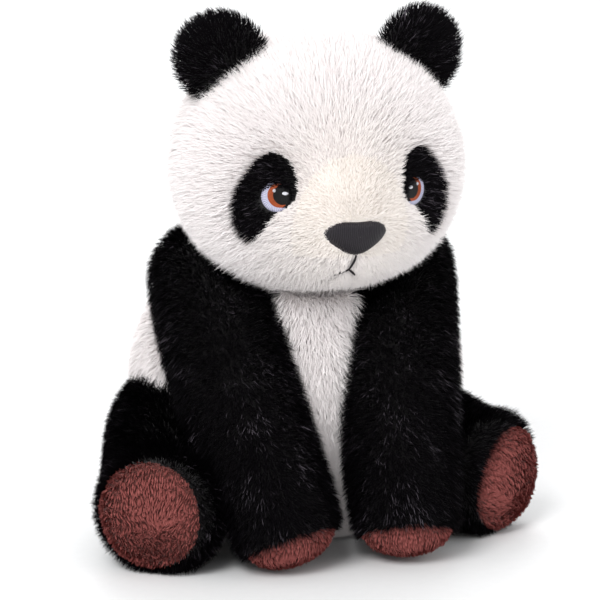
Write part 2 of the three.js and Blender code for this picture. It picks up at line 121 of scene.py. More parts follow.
class Graph:
    """The node graph of one material."""

    def __init__(self, name: str) -> None:
        """Start a material with one Principled shader.

        Args:
            name: The material's name.
        """
        self.material = bpy.data.materials.new(name)
        self.material.use_nodes = True
        self.nodes = self.material.node_tree.nodes
        self.links = self.material.node_tree.links
        self.shader = self.nodes["Principled BSDF"]

    def add(self, kind: str, settings: dict[str, object], inputs: dict[int | str, object],
            output: int | str = 0) -> Value:
        """Add a node.

        Args:
            kind: The node's Blender type.
            settings: Properties that are set first.
            inputs: A number, a colour or a Value for each socket.
            output: The output socket to return.

        Returns:
            The chosen output as a Value.
        """
        node = self.nodes.new(kind)
        for key, value in settings.items():
            setattr(node, key, value)
        for key, value in inputs.items():
            if isinstance(value, Value):
                self.links.new(value.socket, node.inputs[key])
            else:
                node.inputs[key].default_value = value
        return Value(self, node.outputs[output])

    def place(self) -> Value:
        """Object coordinates, in metres."""
        return self.add("ShaderNodeTexCoord", {}, {}, "Object")

    def noise(self, scale: float, detail: float = 2.0, roughness: float = 0.5) -> Value:
        """Smooth noise with features of a size in metres.

        Args:
            scale: The feature size in metres.
            detail: How many finer octaves are added.
            roughness: How strong the finer octaves are.

        Returns:
            The noise, from 0 to 1.
        """
        sockets = {"Vector": self.place(), "Scale": 1.0 / scale, "Detail": detail, "Roughness": roughness}
        return self.add("ShaderNodeTexNoise", {}, sockets, "Fac")

    def blend(self, factor: Value | float, first: object, second: object) -> Value:
        """Mix two colours."""
        return self.add("ShaderNodeMix", {"data_type": "RGBA"}, {0: factor, 6: first, 7: second}, 2)

    def constant(self, **values: object) -> None:
        """Set sockets of the shader that are the same all over the surface."""
        for name, value in values.items():
            self.shader.inputs[name.replace("_", " ")].default_value = value

    def colour(self, value: Value) -> None:
        """Feed the base colour."""
        self.links.new(value.socket, self.shader.inputs["Base Color"])

    def rough(self, value: Value) -> None:
        """Feed the roughness."""
        self.links.new(value.socket, self.shader.inputs["Roughness"])

    def bump(self, height: Value, depth: float) -> None:
        """Raise the surface by a height times a depth in metres."""
        normal = self.add("ShaderNodeBump", {}, {"Height": height, "Distance": depth, "Strength": 1.0})
        self.links.new(normal.socket, self.shader.inputs["Normal"])


# ---- finishes


@dataclass(frozen=True)
class PileFinish:
    """The colour of standing pile: painted shade at the roots, tips, a warmer kind, and stray hair tips that
    are painted glints on the black pile.
    """

    name: str
    root: Colour
    tip: Colour
    warm: Colour
    stray: Colour
    stray_tone_and_glint_share: float
    roughness: float
    sheen: float
    specular: float
    root_shade_fade: float = 0.7
    uneven: float = 0.14
    stray_tone_and_glint_patch: float = 16 * MM
    stray_tone_and_glint_edge: float = 8.0

    def material(self) -> Material:
        """Make the material of the strands.

        Returns:
            The material, which reads from the mesh how high each strand point stands.
        """
        graph = Graph(self.name)
        rise, shade, warmth = (
            graph.add("ShaderNodeAttribute", {"attribute_name": key}, {}, "Fac")
            for key in ("rise", "shade", "warmth")
        )
        tip = graph.blend(warmth, self.tip, self.warm)
        # Painted shade: each strand runs from its tip colour down to the darker root colour, standing in for
        # the shade deep in the pile.
        depth = (rise.power(self.root_shade_fade) * (1 - self.uneven + shade * self.uneven)).clamped()
        hair = graph.blend(depth, self.root, tip)
        # A few strand tips in noisy patches take the stray colour: on the black pile they are painted
        # glints, light specks standing in for tips that catch the light; on the other piles they are another
        # random tone.
        patches = graph.noise(self.stray_tone_and_glint_patch)
        stray_tone_and_glint_mask = ((shade + patches * 0.5 - (1.25 - self.stray_tone_and_glint_share)) * self.stray_tone_and_glint_edge).clamped()
        graph.colour(graph.blend(stray_tone_and_glint_mask * rise.power(2.0), hair, self.stray))
        graph.constant(Roughness=self.roughness, Sheen_Weight=self.sheen, Specular_IOR_Level=self.specular)
        return graph.material


@dataclass(frozen=True)
class ThreadFinish:
    """Satin stitch: parallel or radial glossy threads."""

    name: str
    light: Colour
    dark: Colour
    roughness: float
    stitches: int

    def material(self) -> Material:
        """Make the material of a stitched pad, whose mesh says across which thread a point lies."""
        graph = Graph(self.name)
        across = graph.add("ShaderNodeAttribute", {"attribute_name": "across"}, {}, "Fac")
        ridge = (across * (self.stitches * 2 * math.pi)).wave() * 0.5 + 0.5
        fray = graph.noise(0.9 * MM)
        # Painted shade and highlight: each thread's crest is painted lighter and the groove between threads
        # darker, mixed with a random fibre tone.
        painted_shade_and_fray = (ridge * 0.65 + fray * 0.35).clamped()
        graph.colour(graph.blend(painted_shade_and_fray, self.dark, self.light))
        graph.rough(self.roughness + 0.15 * fray)
        graph.bump(ridge, 0.22 * MM)
        graph.constant(Specular_IOR_Level=0.3)
        return graph.material


@dataclass(frozen=True)
class FibreFinish:
    """Matt fibres in two tones, like the knitted ground of the pile or the loose filling."""

    name: str
    light: Colour
    dark: Colour
    fibre: float = 0.7 * MM
    detail: float = 3.0
    smoothest: float = 0.85
    roughness_spread: float = 0.12
    relief: float = 0.5 * MM
    sheen: float = 0.3

    def material(self) -> Material:
        """Make the material of the fibres."""
        graph = Graph(self.name)
        wisps = graph.noise(self.fibre, self.detail, 0.7)
        graph.colour(graph.blend(wisps, self.dark, self.light))
        graph.rough(wisps * self.roughness_spread + self.smoothest)
        graph.bump(wisps, self.relief)
        graph.constant(Sheen_Weight=self.sheen)
        return graph.material


EYE_FINISHES: dict[str, ThreadFinish] = {
    "white": ThreadFinish("eye_white_stitch", (0.66, 0.66, 0.82, 1), (0.36, 0.35, 0.50, 1), 0.45, 40),
    "glint": ThreadFinish("glint_stitch", (0.93, 0.93, 0.97, 1), (0.75, 0.75, 0.84, 1), 0.4, 8),
    "iris": ThreadFinish("iris_stitch", (0.55, 0.12, 0.035, 1), (0.22, 0.035, 0.012, 1), 0.4, 44),
    "black": ThreadFinish("black_stitch", (0.0040, 0.0034, 0.0044, 1), (0.002, 0.002, 0.002, 1), 0.45, 14),
}


class Tone(Enum):
    """The finishes of the panda's fabrics."""

    WHITE = "white_pile"
    BLACK = "black_pile"
    CREAM = "cream_short_pile"
    BROWN = "brown_short_pile"

    @property
    def ground(self) -> str:
        """The broad colour of the fabric; the cream bridge runs into the white."""
        return "pale" if self in (Tone.WHITE, Tone.CREAM) else self.value


PILES: dict[Tone, PileFinish] = {
    Tone.WHITE: PileFinish(
        "white_pile_strands", root=(0.87, 0.82, 0.82, 1), tip=(0.96, 0.925, 0.92, 1),
        warm=(0.96, 0.915, 0.875, 1), stray=(0.88, 0.81, 0.82, 1),
        stray_tone_and_glint_share=0.20, roughness=0.85, sheen=0.1, specular=0.1),
    # The black pile's stray colour is a painted glint: light specks on some hair tips.
    Tone.BLACK: PileFinish(
        "black_pile_strands", root=(0.0008, 0.0006, 0.0009, 1), tip=(0.0034, 0.0026, 0.0038, 1),
        warm=(0.0034, 0.0026, 0.0038, 1), stray=(0.24, 0.21, 0.25, 1),
        stray_tone_and_glint_share=0.06, roughness=0.6, sheen=0.0, specular=0.05),
    Tone.CREAM: PileFinish(
        "cream_pile_strands", root=(0.88, 0.81, 0.77, 1), tip=(0.96, 0.925, 0.90, 1),
        warm=(0.96, 0.91, 0.865, 1), stray=(0.90, 0.83, 0.77, 1),
        stray_tone_and_glint_share=0.15, roughness=0.85, sheen=0.1, specular=0.1),
    Tone.BROWN: PileFinish(
        "brown_pile_strands", root=(0.090, 0.022, 0.019, 1), tip=(0.370, 0.106, 0.096, 1),
        warm=(0.370, 0.106, 0.096, 1), stray=(0.48, 0.17, 0.15, 1),
        stray_tone_and_glint_share=0.15, roughness=0.75, sheen=0.0, specular=0.12),
}
CHARCOAL_THREAD = ThreadFinish(
    "charcoal_stitch", (0.022, 0.017, 0.024, 1), (0.002, 0.0016, 0.0024, 1), 0.45, 34)
GROUNDS: dict[Tone, FibreFinish] = {
    Tone.WHITE: FibreFinish("white_ground", (0.86, 0.81, 0.79, 1), (0.72, 0.66, 0.65, 1)),
    Tone.BLACK: FibreFinish("black_ground", (0.010, 0.008, 0.009, 1), (0.003, 0.003, 0.003, 1)),
    Tone.CREAM: FibreFinish("cream_ground", (0.90, 0.85, 0.79, 1), (0.78, 0.72, 0.66, 1)),
    Tone.BROWN: FibreFinish("brown_ground", (0.20, 0.057, 0.048, 1), (0.09, 0.025, 0.021, 1)),
}


# ---- mesh tools


def unit(vectors: Array) -> Array:
    """Vectors scaled to length 1."""
    return vectors / np.maximum(np.linalg.norm(vectors, axis=-1, keepdims=True), 1e-9)


def mesh_arrays(obj: Object) -> tuple[Array, Array, Array]:
    """Read an object's triangles.

    Args:
        obj: A mesh object.

    Returns:
        Its vertices, its vertex normals and its triangles.
    """
    mesh = obj.data
    mesh.calc_loop_triangles()
    points, normals = np.empty((2, len(mesh.vertices), 3), np.float32)
    corners = np.empty((len(mesh.loop_triangles), 3), np.int32)
    mesh.vertices.foreach_get("co", points.ravel())
    mesh.vertices.foreach_get("normal", normals.ravel())
    mesh.loop_triangles.foreach_get("vertices", corners.ravel())
    return points.astype(float), normals.astype(float), corners


def search_tree(obj: Object) -> BVHTree:
    """A search tree of an object's surface."""
    corners, _, triangles = mesh_arrays(obj)
    return BVHTree.FromPolygons([Vector(corner) for corner in corners], triangles.tolist())


def store(mesh: bpy.types.Mesh, name: str, values: Sequence[float]) -> None:
    """Keep one number for each vertex, for a material to read."""
    mesh.attributes.new(name, "FLOAT", "POINT").data.foreach_set("value", np.asarray(values, np.float32))


def new_mesh(name: str, points: Array, faces: Sequence[Sequence[int]]) -> Object:
    """Make a mesh object from points and faces.

    Args:
        name: The object's name.
        points: Vertex places in metres.
        faces: Vertex numbers of each face.

    Returns:
        The object, linked to the scene.
    """
    mesh = bpy.data.meshes.new(name)
    mesh.from_pydata([tuple(point) for point in points], [], faces)
    mesh.validate()
    obj = bpy.data.objects.new(name, mesh)
    bpy.context.scene.collection.objects.link(obj)
    mesh.polygons.foreach_set("use_smooth", [True] * len(mesh.polygons))
    return obj


def apply_modifiers(obj: Object) -> None:
    """Bake an object's modifiers into its mesh.

    Args:
        obj: The object, which has no modifiers afterwards.
    """
    view = bpy.context.evaluated_depsgraph_get()
    finished = bpy.data.meshes.new_from_object(obj.evaluated_get(view))
    obj.modifiers.clear()
    old = obj.data
    obj.data = finished
    bpy.data.meshes.remove(old)


def keep_largest(mesh: bpy.types.Mesh) -> None:
    """Delete every island of a mesh but the largest.

    Args:
        mesh: The mesh, which is changed in place.
    """
    work = bmesh.new()
    work.from_mesh(mesh)
    unseen = set(work.verts)
    islands = []
    while unseen:
        front = {unseen.pop()}
        island = set(front)
        while front:
            front = {vert for seen in front for edge in seen.link_edges for vert in edge.verts} & unseen
            unseen -= front
            island |= front
        islands.append(island)
    islands.sort(key=len)
    loose = [vert for island in islands[:-1] for vert in island]
    bmesh.ops.delete(work, geom=loose, context="VERTS")
    work.to_mesh(mesh)
    work.free()


CLOTH_STEPS = 14
CLOTH_SETTINGS: dict[str, object] = {
    "quality": 4,
    "mass": 0.2,
    "use_pressure": True,
    "uniform_pressure_force": 4.0,
    "vertex_group_mass": "seams",
    "tension_stiffness": 15.0,
    "compression_stiffness": 15.0,
    "bending_stiffness": 0.3,
}


@dataclass
class Skin:
    """The sewn outside of one body: its panels joined, puffed by stuffing and coloured by panel."""

    name: str
    body: str
    panels: dict[str, Tone]
    hidden: tuple[str, ...] = ()
    voxel: float = 3.2 * MM
    smoothing: int = 6
    fill: float = 0.8
    puff: float = 1.6 * MM
    seam: float = 1.6 * MM
    trim: Callable[[Array], Array] | None = None
    obj: Object = field(init=False)
    gaps: Array = field(init=False)

    def build(self) -> None:
        """Join the panels, stuff them, and colour the ground of each panel."""
        points: list[Array] = []
        faces: list[Array] = []
        count = 0
        for node in (*self.panels, *self.hidden):
            corners, _, triangles = mesh_arrays(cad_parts[node])
            points.append(corners)
            faces.append(triangles + count)
            count += len(corners)
        self.obj = new_mesh(self.name, np.concatenate(points), np.concatenate(faces).tolist())
        self._remesh()
        self._inflate()
        self._finish_surface()
        self._colour_ground()
        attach(self.obj, self.body)
        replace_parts(self.obj, *self.panels)
        next(iter(self.panels.values())).value
        LOG.info("%s: %d faces", self.name, len(self.obj.data.polygons))

    def _remesh(self) -> None:
        """Turn the joined panels into one closed surface."""
        remesh = self.obj.modifiers.new("remesh", "REMESH")
        remesh.mode = "VOXEL"
        remesh.voxel_size = self.voxel
        apply_modifiers(self.obj)
        keep_largest(self.obj.data)

    def _inflate(self) -> None:
        """Blow the cloth out between its seams, by no more than the puff."""
        before, _, _ = mesh_arrays(self.obj)
        gaps = np.sort(self._panel_gaps(before), axis=1)
        group = self.obj.vertex_groups.new(name="seams")
        if gaps.shape[1] > 1:
            held = np.flatnonzero(gaps[:, 1] - gaps[:, 0] < self.seam)
            group.add(held.tolist(), 1.0, "REPLACE")
        cloth = self.obj.modifiers.new("cloth", "CLOTH")
        for setting, value in CLOTH_SETTINGS.items():
            setattr(cloth.settings, setting, value)
        cloth.settings.effector_weights.gravity = 0.0
        cloth.point_cache.frame_end = CLOTH_STEPS
        scene = bpy.context.scene
        for step in range(1, CLOTH_STEPS + 1):
            scene.frame_set(step)
        apply_modifiers(self.obj)
        after, normals, _ = mesh_arrays(self.obj)
        move = after - before
        size = np.linalg.norm(move, axis=1, keepdims=True)
        move *= np.minimum(1.0, self.puff / np.maximum(size, 1e-9))
        place = before + move
        place[:, 2] = np.maximum(place[:, 2], LOWEST)
        self.obj.data.vertices.foreach_set("co", place.astype(np.float32).ravel())
        self.obj.data.update()
        self.obj.vertex_groups.clear()
        scene.frame_set(1)

    def _finish_surface(self) -> None:
        """Ease out the facets and refine the surface once."""
        smooth = self.obj.modifiers.new("smooth", "CORRECTIVE_SMOOTH")
        smooth.iterations = self.smoothing
        smooth.smooth_type = "LENGTH_WEIGHTED"
        smooth.use_only_smooth = True
        finer = self.obj.modifiers.new("finer", "SUBSURF")
        finer.levels = 1
        finer.render_levels = 1
        apply_modifiers(self.obj)
        self.obj.data.polygons.foreach_set("use_smooth", [True] * len(self.obj.data.polygons))

    def _panel_gaps(self, points: Array) -> Array:
        """The distance of each point to each panel.

        Args:
            points: The places to measure from.

        Returns:
            One row for each point and one column for each panel.
        """
        trees = [search_tree(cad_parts[node]) for node in self.panels]
        gaps = np.array([[tree.find_nearest(Vector(point))[3] for point in points] for tree in trees]).T
        return gaps if self.trim is None else gaps + self.trim(points)

    def _colour_ground(self) -> None:
        """Give each face the ground fabric of the panel that it lies nearest to."""
        mesh = self.obj.data
        self.gaps = self._panel_gaps(mesh_arrays(self.obj)[0])
        nearest = [int(np.argmin(self.gaps[list(face.vertices)].sum(0))) for face in mesh.polygons]
        tones = list(dict.fromkeys(self.panels.values()))
        for tone in tones:
            mesh.materials.append(GROUND_MATERIALS[tone])
        by_panel = [tones.index(tone) for tone in self.panels.values()]
        mesh.polygons.foreach_set("material_index", [by_panel[i] for i in nearest])
        mesh.update()


GROUND_MATERIALS: dict[Tone, Material] = {}
PILE_MATERIALS: dict[Tone, Material] = {}


# ---- pile


CLIPPED = 0.4         # length of a strand at the edge of a bare spot, as a share of the full one
SEAM_LENGTH = 0.7     # length of a strand at a seam between two colours
SEAM_LEAN = 0.3       # lean of a strand there
LEAN_SPREAD = 0.25
LENGTH_SPREAD = 0.14
LENGTH_LIMITS = (0.55, 1.4)
FLAT_SPREAD = 0.15
TURN_SPREAD = 0.45
WIDTH_LIMITS = (0.7, 1.25)
ROOT_DEPTH = 0.4 * MM
TAPER = 0.85          # width of a strand at its middle
BLADE_RISE = (0.0, 0.0, 0.55, 0.55, 1.0)
BLADE_FACES = (0, 1, 2, 3, 3, 2, 4)
BLADE_SPOTS = ((0.2, 0.1), (0.8, 0.1), (0.8, 0.5), (0.2, 0.5), (0.2, 0.5), (0.8, 0.5), (0.5, 0.9))


def mix(low: float, share: Array) -> Array:
    """Rise from a low value to 1 with a share from 0 to 1."""
    return low + (1 - low) * share


@dataclass(frozen=True)
class Clearing:
    """A spot that pile keeps off, with shorter pile around it."""

    centre: Vector
    reach: tuple[float, float, float]
    fade: float = 0.6

    def share(self, points: Array) -> Array:
        """How much of its length the pile keeps at each point: none inside, all of it well outside."""
        gap = np.linalg.norm((points - np.array(self.centre)) / np.array(self.reach), axis=1)
        return np.clip((gap - 1) / self.fade, 0, 1)


@dataclass(frozen=True)
class Groom:
    """How the pile of one body lies: its brushed way, bare spots, and where it is short and warm."""

    brush: Brush
    clearings: tuple[Clearing, ...] = ()
    short: Callable[[Array], Array] | None = None
    shortest: float = 0.36

    def shortness(self, roots: Array) -> Array:
        """How short and warm the pile is at each root, from 0 to 1."""
        return np.zeros(len(roots)) if self.short is None else self.short(roots)

    def share(self, roots: Array) -> Array:
        """How much of its full length the pile has at each root.

        Args:
            roots: The roots of the pile.

        Returns:
            A share for each root, which is none on bare spots.
        """
        keep = np.ones(len(roots))
        for clearing in self.clearings:
            keep = np.minimum(keep, clearing.share(roots))
        length = 1 - (1 - self.shortest) * self.shortness(roots)
        return np.where(keep > 0, length * mix(CLIPPED, keep), 0)


@dataclass(frozen=True)
class Pile:
    """Standing pile: how long, thick and close its strands are, and how they tuft.

    A tuft is stretch times as high as it is wide, and gather says how far its strands draw together.
    Sway turns strands off the brushed way, and softness shades them more like the skin under them.
    """

    length: float
    width: float
    per_mm2: float
    lean: float
    droop: float
    tuft: float
    stretch: float
    gather: float
    sway: float
    seed: int
    softness: float = 0.3
    border: float = 6 * MM

    def grow(self, skin: Skin, panel: str, groom: Groom) -> Object:
        """Grow the pile of one panel.

        Args:
            skin: The skin that the pile stands on.
            panel: The panel that is covered.
            groom: How the pile lies.

        Returns:
            The pile as one mesh of narrow blades.
        """
        rng = np.random.default_rng(self.seed)
        roots, normals, edge = self._scatter(skin, panel, rng)
        share = groom.share(roots)
        kept = share > 0
        roots, normals = roots[kept], normals[kept]
        border = np.clip(edge[kept, None] / self.border, 0, 1)
        share = share[kept, None] * mix(SEAM_LENGTH, border)
        count = len(roots)
        along = groom.brush(roots, normals)
        along = unit(along - (along * normals).sum(1, keepdims=True) * normals)
        side = np.cross(normals, along)
        along = unit(along + side * rng.normal(0, self.sway, (count, 1)))
        lean = self.lean * mix(SEAM_LEAN, border) * (1 + rng.normal(0, LEAN_SPREAD, (count, 1)))
        reach = self.length * share * np.clip(rng.normal(1.0, LENGTH_SPREAD, (count, 1)), *LENGTH_LIMITS)
        fall = np.array([[0, 0, -self.droop]])
        middle = roots + reach * 0.5 * unit(normals + along * lean * 0.6 + fall * 0.5)
        tip = middle + reach * 0.55 * unit(normals * 0.8 + along * lean * 1.5 + fall)
        pull = self._pull(roots, normals, tip, rng)
        tip = tip + pull
        middle = middle + pull * 0.35
        outward = unit(tip - roots)
        flat = unit(np.cross(outward, normals + rng.normal(0, FLAT_SPREAD, (count, 3))))
        turn = rng.normal(0, TURN_SPREAD, (count, 1))
        wide = unit(flat * np.cos(turn) + np.cross(outward, flat) * np.sin(turn))
        facing = np.cross(wide, outward)
        flip = np.where((facing * normals).sum(1, keepdims=True) < 0, -1.0, 1.0)
        half = wide * flip * self.width * 0.5 * rng.uniform(*WIDTH_LIMITS, (count, 1))
        shading = unit(facing * flip * (1 - self.softness) + normals * self.softness)
        base = roots - normals * ROOT_DEPTH
        rows = [base - half, base + half, middle + half * TAPER, middle - half * TAPER, tip]
        for row in rows:
            row[:, 2] = np.maximum(row[:, 2], LOWEST)
        return self._blades(skin, panel, np.stack(rows, 1), shading, groom.shortness(roots), rng)

    def _scatter(self, skin: Skin, panel: str, rng: np.random.Generator) -> tuple[Array, Array, Array]:
        """Spread roots evenly over a panel, out to its seams.

        Args:
            skin: The skin to stand on.
            panel: The panel to cover.
            rng: The seeded source of chance.

        Returns:
            Root places, normals and distances to the nearest fabric of another colour.
        """
        points, point_normals, corners = mesh_arrays(skin.obj)
        wanted = list(skin.panels).index(panel)
        corners = corners[(skin.gaps[corners].argmin(2) == wanted).any(1)]
        a, b, c = (points[corners[:, i]] for i in range(3))
        areas = 0.5 * np.linalg.norm(np.cross(b - a, c - a), axis=1)
        count = int(areas.sum() * 1e6 * self.per_mm2)
        throws = (np.arange(count) + rng.random(count)) / count
        pick = np.minimum(np.searchsorted(np.cumsum(areas) / areas.sum(), throws), len(corners) - 1)
        u, v = rng.random((2, count, 1))
        over = u + v > 1
        u, v = np.where(over, 1 - u, u), np.where(over, 1 - v, v)
        shares = np.stack([1 - u - v, u, v], 1)
        chosen = corners[pick]
        gaps = (skin.gaps[chosen] * shares).sum(1)
        mine = gaps.argmin(1) == wanted
        chosen, shares = chosen[mine], shares[mine]
        ground = skin.panels[panel].ground
        others = [i for i, tone in enumerate(skin.panels.values()) if tone.ground != ground]
        edge = gaps[mine][:, others].min(1) if others else np.full(len(chosen), 1.0)
        return (points[chosen] * shares).sum(1), unit((point_normals[chosen] * shares).sum(1)), edge

    def _pull(self, roots: Array, normals: Array, tips: Array, rng: np.random.Generator) -> Array:
        """How far each tip moves as neighbouring strands draw together into tufts.

        Args:
            roots: Root places.
            normals: Surface normals at the roots.
            tips: Tip places.
            rng: The seeded source of chance.

        Returns:
            The moves of the tips.
        """
        facing = unit(normals.mean(0))
        rise = unit(np.array([0.0, 0.0, 1.0]) - facing * facing[2])
        axes = np.stack([np.cross(rise, facing), rise, facing], 1)
        place = roots @ axes / np.array([self.tuft, self.tuft * self.stretch, self.tuft * 1.5])
        # Slow waves bend the grid of tufts, so that no rows of them show.
        waver = np.sin(roots @ axes[:, 1] / (2.7 * MM))
        place[:, 0] += 0.9 * np.sin(place[:, 1] * 2.3 + place[:, 2]) + 0.5 * waver
        place[:, 1] += 0.5 * np.sin(place[:, 0] * 1.9) + (np.floor(place[:, 0]) * 0.618) % 1
        place[:, 2] += 0.4 * np.sin(place[:, 0] * 0.8 + place[:, 1] * 1.1)
        keys = (np.floor(place).astype(np.int64) * np.array([73856093, 19349663, 83492791])).sum(1)
        _, group = np.unique(keys, return_inverse=True)
        group = group.ravel()
        members = np.bincount(group)
        centre = np.stack([np.bincount(group, tips[:, i]) / members for i in range(3)], 1)
        stray = rng.normal(0, 0.10 * self.length, (len(members), 3))
        return ((centre + stray)[group] - tips) * self.gather * rng.uniform(0.6, 1.2, (len(roots), 1))

    def _blades(self, skin: Skin, panel: str, rows: Array, shading: Array, warmth: Array,
                rng: np.random.Generator) -> Object:
        """Make the mesh of the blades: a four-sided lower half and a pointed upper half.

        Args:
            skin: The skin that the blades stand on.
            panel: The panel that they cover.
            rows: Five corners for each blade.
            shading: The way that each blade turns to the light.
            warmth: How warm the colour of each blade is.
            rng: The seeded source of chance.

        Returns:
            The object.
        """
        name = f"pile_{panel}"
        count, corners = len(rows), len(BLADE_RISE)
        order = np.arange(count)[:, None]
        loops = (order * corners + BLADE_FACES).ravel()
        starts = (order * len(BLADE_FACES) + [0, 4]).ravel()
        mesh = bpy.data.meshes.new(name)
        mesh.vertices.add(count * corners)
        mesh.vertices.foreach_set("co", rows.astype(np.float32).ravel())
        mesh.loops.add(count * len(BLADE_FACES))
        mesh.loops.foreach_set("vertex_index", loops.astype(np.int32))
        mesh.polygons.add(count * 2)
        mesh.polygons.foreach_set("loop_start", starts.astype(np.int32))
        mesh.polygons.foreach_set("use_smooth", np.ones(count * 2, bool))
        store(mesh, "rise", np.tile(BLADE_RISE, count))
        store(mesh, "shade", np.repeat(rng.random(count), corners))
        store(mesh, "warmth", np.repeat(warmth, corners))
        grid = math.ceil(math.sqrt(count))
        cell = np.stack([order % grid, order // grid], 2)
        layer = mesh.uv_layers.new(name="OFBake")
        layer.data.foreach_set("uv", ((cell + np.array(BLADE_SPOTS)) / grid).astype(np.float32).ravel())
        mesh.update()
        mesh.normals_split_custom_set_from_vertices(np.repeat(shading, corners, axis=0).astype(np.float32))
        obj = bpy.data.objects.new(name, mesh)
        bpy.context.scene.collection.objects.link(obj)
        tone = skin.panels[panel]
        mesh.materials.append(PILE_MATERIALS[tone])
        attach(obj, skin.body)
        LOG.info("%s: %d strands", name, count)
        return obj


PILE_OF: dict[Tone, Pile] = {
    Tone.WHITE: Pile(length=8.0 * MM, width=0.34 * MM, per_mm2=3.1, lean=0.80, droop=0.10,
                     tuft=2.4 * MM, stretch=1.4, gather=0.22, sway=0.42, seed=11),
    Tone.BLACK: Pile(length=6.8 * MM, width=0.34 * MM, per_mm2=2.8, lean=0.50, droop=0.12,
                     tuft=2.2 * MM, stretch=1.3, gather=0.35, sway=0.60, seed=12),
    Tone.CREAM: Pile(length=6.8 * MM, width=0.34 * MM, per_mm2=4.2, lean=1.0, droop=0.05,
                     tuft=1.6 * MM, stretch=1.3, gather=0.20, sway=0.30, seed=13, softness=0.45),
    Tone.BROWN: Pile(length=2.8 * MM, width=0.36 * MM, per_mm2=5.0, lean=0.6, droop=0.10,
                     tuft=1.15 * MM, stretch=3.4, gather=0.80, sway=0.30, seed=14),
}
EAR_PILE = Pile(length=6.0 * MM, width=0.36 * MM, per_mm2=3.0, lean=0.7, droop=0.0,
                tuft=2.4 * MM, stretch=1.3, gather=0.45, sway=0.35, seed=15)


# ---- embroidery


@dataclass(frozen=True)
class Pad:
    """A raised pad of satin stitch on the face, from an outline in the face's own plane."""

    name: str
    outline: Outline
    lift: float
    finish: Material
    slot: str
    radial: bool = False
    rings: int = 10
    sunk: float = 0.2 * MM
    probe: float = 30 * MM

    def build(self, tree: BVHTree, centre: Vector, normal: Vector, body: str) -> Object:
        """Lay the pad on a surface.

        Args:
            tree: The surface.
            centre: The middle of the outline on the surface.
            normal: The way that the pad looks.
            body: The body that it rides on.

        Returns:
            The pad.
        """
        right = Vector((0, 0, 1)).cross(normal).normalized()
        up = normal.cross(right)
        rim = np.array([*self.outline, self.outline[0]])
        middle = rim[:-1].mean(0)
        reach = float(np.abs(rim[:, 0] - middle[0]).max())
        last = len(rim) - 1
        points: list[Vector] = []
        across: list[float] = []
        for ring in range(self.rings + 1):
            share = ring / self.rings
            dome = math.sqrt(max(0.0, 1 - share ** 4))
            for step, spot in enumerate(rim):
                flat = middle + (spot - middle) * max(share, 0.01)
                foot = centre + right * flat[0] + up * flat[1]
                hit = tree.ray_cast(foot + normal * self.probe, -normal)[0] or foot
                points.append(hit + normal * (self.lift * dome - self.sunk))
                across.append(step / last if self.radial else (flat[0] - middle[0]) / reach * 0.5 + 0.5)
        row = last + 1
        faces = [
            [ring * row + step, ring * row + step + 1, (ring + 1) * row + step + 1, (ring + 1) * row + step]
            for ring in range(self.rings) for step in range(last)
        ]
        obj = new_mesh(self.name, np.array([tuple(point) for point in points]), faces)
        work = bmesh.new()
        work.from_mesh(obj.data)
        bmesh.ops.recalc_face_normals(work, faces=work.faces)
        work.to_mesh(obj.data)
        work.free()
        return finish_stitch(obj, across, self.finish, body)


def finish_stitch(obj: Object, across: Sequence[float], finish: Material,
                  body: str) -> Object:
    """Give a stitched piece its threads, its finish and its body.

    Args:
        obj: The piece.
        across: The place of each vertex across the threads.
        finish: Its material.
        body: The body that it rides on.

    Returns:
        The piece.
    """
    store(obj.data, "across", across)
    obj.data.materials.append(finish)
    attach(obj, body)
    LOG.info("%s", obj.name)
    return obj


def round_outline(width: float, height: float, shift: tuple[float, float] = (0.0, 0.0),
                  corners: int = 48) -> Outline:
    """An ellipse as an outline.

    Args:
        width: Full width in metres.
        height: Full height in metres.
        shift: Where its middle lies.
        corners: How many points it has.

    Returns:
        The points.
    """
    turns = [2 * math.pi * step / corners for step in range(corners)]
    return tuple((shift[0] + math.cos(turn) * width / 2, shift[1] + math.sin(turn) * height / 2)
                 for turn in turns)


NOSE_PROFILE = ((0.0, 0.90), (0.5, 0.92), (0.84, 0.70), (1.0, 0.25),
                (0.90, -0.15), (0.62, -0.55), (0.28, -0.90), (0.0, -1.0))


def nose_outline(half: float, top: float, bottom: float, steps: int = 6) -> Outline:
    """A rounded triangle, broad above and pointed below.

    Args:
        half: Half its width.
        top: How far it rises above its middle.
        bottom: How far it reaches below.
        steps: How many points each stretch of its profile gets.

    Returns:
        The points.
    """
    left = [(-x, y) for x, y in NOSE_PROFILE[-2:0:-1]]
    knots = np.array([*NOSE_PROFILE, *left])
    before, after, beyond = (np.roll(knots, shift, axis=0) for shift in (1, -1, -2))
    points = []
    for p0, p1, p2, p3 in zip(before, knots, after, beyond):
        for t in np.linspace(0, 1, steps, endpoint=False):
            bend = (2 * p0 - 5 * p1 + 4 * p2 - p3) * t * t + (3 * p1 - p0 - 3 * p2 + p3) * t ** 3
            x, y = (2 * p1 + (p2 - p0) * t + bend) / 2
            points.append((float(half * x), float(y * (top if y > 0 else bottom))))
    return tuple(points)


